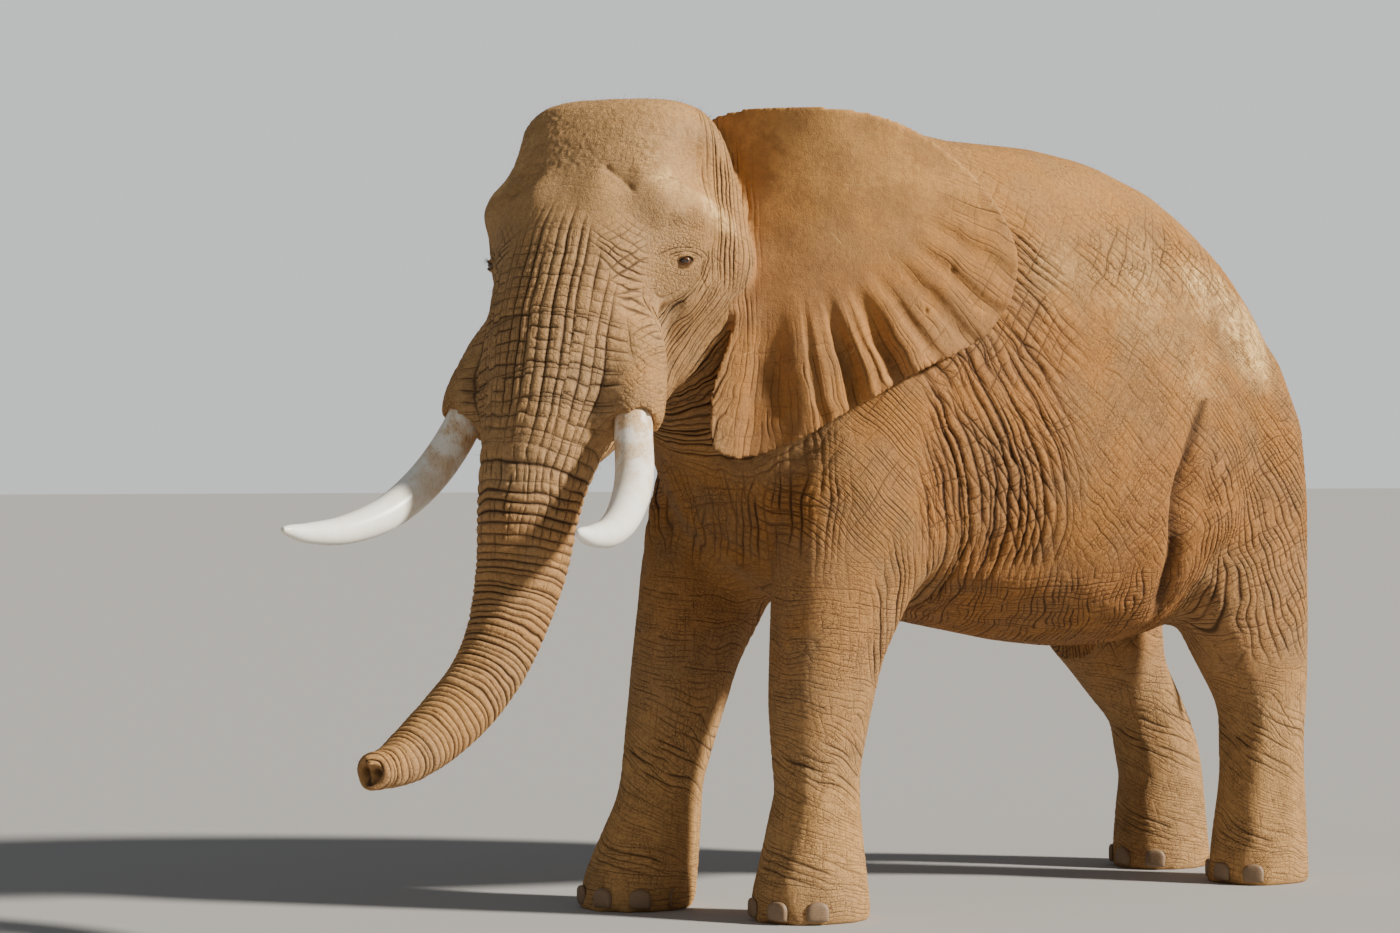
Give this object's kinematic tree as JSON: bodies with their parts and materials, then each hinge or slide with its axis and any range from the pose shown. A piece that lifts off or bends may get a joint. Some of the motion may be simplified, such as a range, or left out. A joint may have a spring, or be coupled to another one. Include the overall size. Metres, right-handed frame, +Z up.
{
  "type": "african bush elephant",
  "caption": "Life-size still model of a standing African bush elephant bull, head turned, tusks forward, trunk curling ahead.",
  "frame": {"origin": "middle of the bounding box at floor level, under the animal", "axes": "+Z up; the body looks along -Y, so +Y runs from head to tail; +X is the animal's left side"},
  "size_m": [2.2008, 4.9158, 3.105],
  "materials": {
    "hide": "dry wrinkled hide with reddish dust",
    "ear_hide": "thin smoother hide with reddish dust",
    "ivory": "satin ivory, stained near the lip",
    "nail": "dull horn",
    "eye": "wet, dark brown",
    "tail_hair": "coarse black bristles"
  },
  "bodies": {
    "root": {"ear_left": "ear_hide", "ear_right": "ear_hide", "eye_left": "eye", "eye_right": "eye", "forefoot_left": "hide", "forefoot_right": "hide", "foreleg_left": "hide", "foreleg_right": "hide", "head": "hide", "hindfoot_left": "hide", "hindfoot_right": "hide", "hindleg_left": "hide", "hindleg_right": "hide", "lower_jaw": "hide", "nail_fore_left_1": "nail", "nail_fore_left_2": "nail", "nail_fore_left_3": "nail", "nail_fore_left_4": "nail", "nail_fore_right_1": "nail", "nail_fore_right_2": "nail", "nail_fore_right_3": "nail", "nail_fore_right_4": "nail", "nail_hind_left_1": "nail", "nail_hind_left_2": "nail", "nail_hind_left_3": "nail", "nail_hind_right_1": "nail", "nail_hind_right_2": "nail", "nail_hind_right_3": "nail", "neck": "hide", "tail": "hide", "tail_tuft": "tail_hair", "torso": "hide", "trunk_lower": "hide", "trunk_middle": "hide", "trunk_upper": "hide", "tusk_left": "ivory", "tusk_right": "ivory"}
  },
  "joints": []
}
